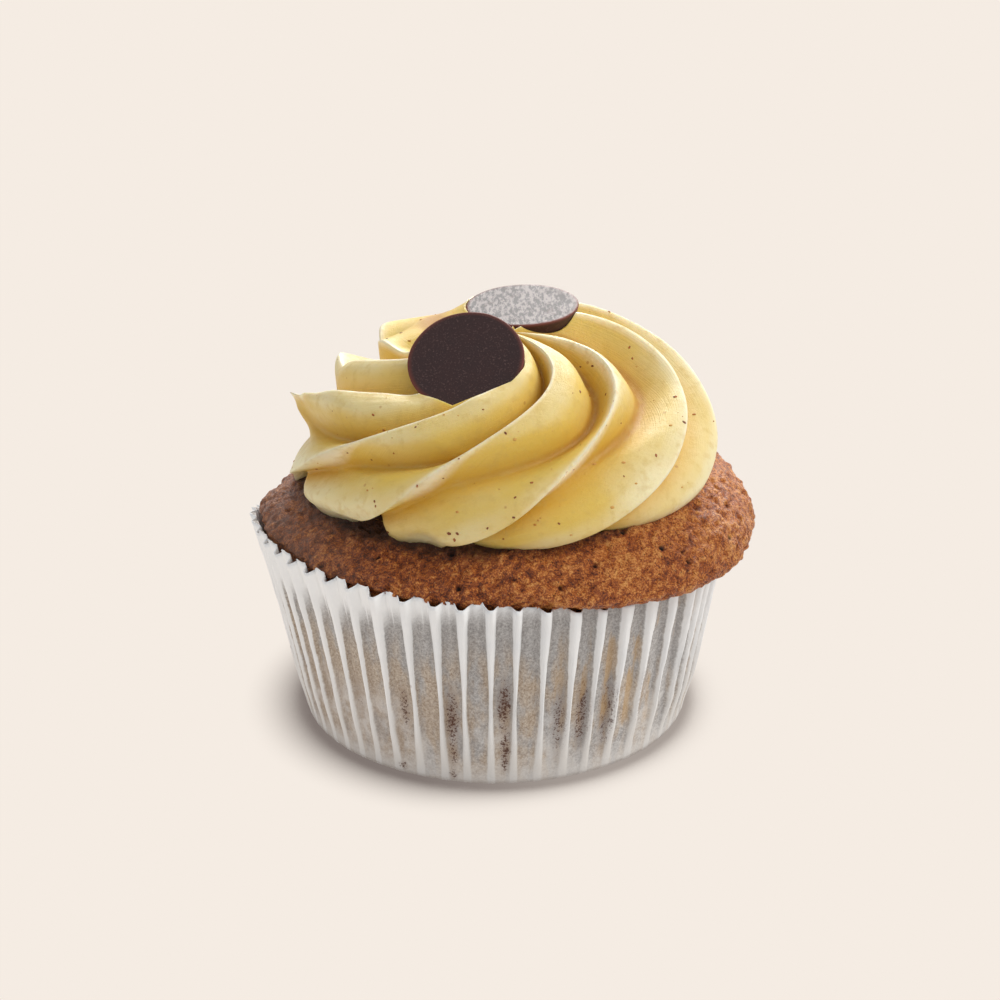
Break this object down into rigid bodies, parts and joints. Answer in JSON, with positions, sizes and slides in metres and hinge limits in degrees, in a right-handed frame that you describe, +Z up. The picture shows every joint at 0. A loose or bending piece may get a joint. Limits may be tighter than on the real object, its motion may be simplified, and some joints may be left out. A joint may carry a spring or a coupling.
{
  "type": "cupcake",
  "caption": "Iced cupcake in a pleated white paper baking case, with a swirled piped topping and flat chocolate discs set into it.",
  "frame": {"origin": "middle of the paper case's flat bottom, at the height it stands on", "axes": "+Z up; the side shown in the picture looks along -Y; +X is to the right of it"},
  "size_m": [0.0621, 0.0597, 0.053],
  "materials": {
    "paper": "thin greaseproof paper, matt, spotted by the cake behind it",
    "sponge": "browned crumb with a slight sheen",
    "cream": "smooth satin cream with fine brown specks",
    "chocolate": "matt dark chocolate"
  },
  "bodies": {
    "root": {"paper_case": "paper", "cake": "sponge", "icing": "cream", "chocolate_disc_front": "chocolate", "chocolate_disc_back": "chocolate"}
  },
  "joints": []
}
